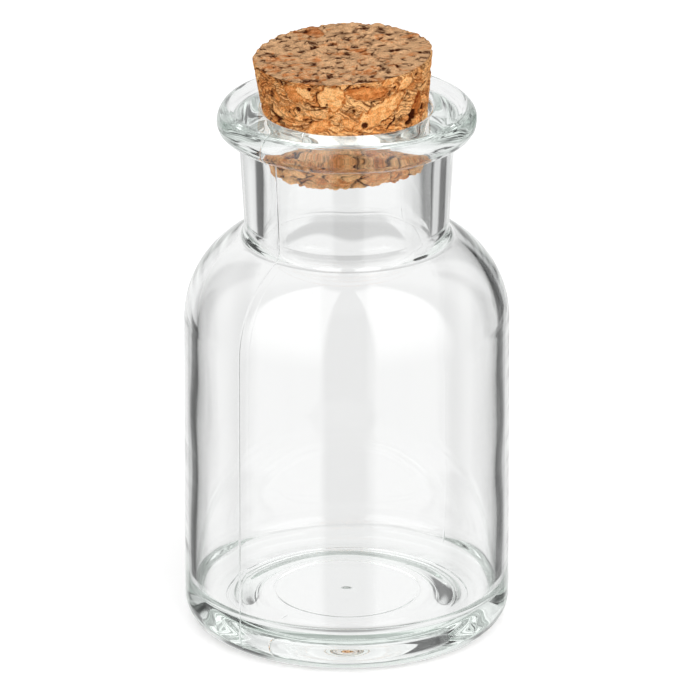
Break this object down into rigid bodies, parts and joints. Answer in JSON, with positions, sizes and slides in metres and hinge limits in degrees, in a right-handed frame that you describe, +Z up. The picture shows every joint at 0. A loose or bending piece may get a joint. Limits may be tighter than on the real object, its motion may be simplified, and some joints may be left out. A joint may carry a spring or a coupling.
{
  "type": "corked glass bottle",
  "caption": "Small round clear glass bottle with a broad shoulder, a short neck, a rounded lip and a tapered cork stopper that pulls out of the mouth.",
  "frame": {"origin": "centre of the ring that the bottle stands on, on the floor plane", "axes": "+Z up along the bottle's axis; the front seen in the picture faces -Y; the cork leans slightly towards -X"},
  "size_m": [0.0542, 0.0542, 0.1012],
  "materials": {
    "clear_glass": "clear glass, smooth and glossy, faint grey-green tint where it is thick",
    "cork": "pressed cork granules, matte, warm tan with dark brown cracks and pores"
  },
  "bodies": {
    "bottle": {"glass_bottle": "clear_glass"},
    "cork": {"cork_stopper": "cork"}
  },
  "joints": [
    {"name": "cork_pull", "type": "slide", "parent": "bottle", "child": "cork", "axis": [0, 0, 1], "range_m": [0, 0.03]}
  ]
}
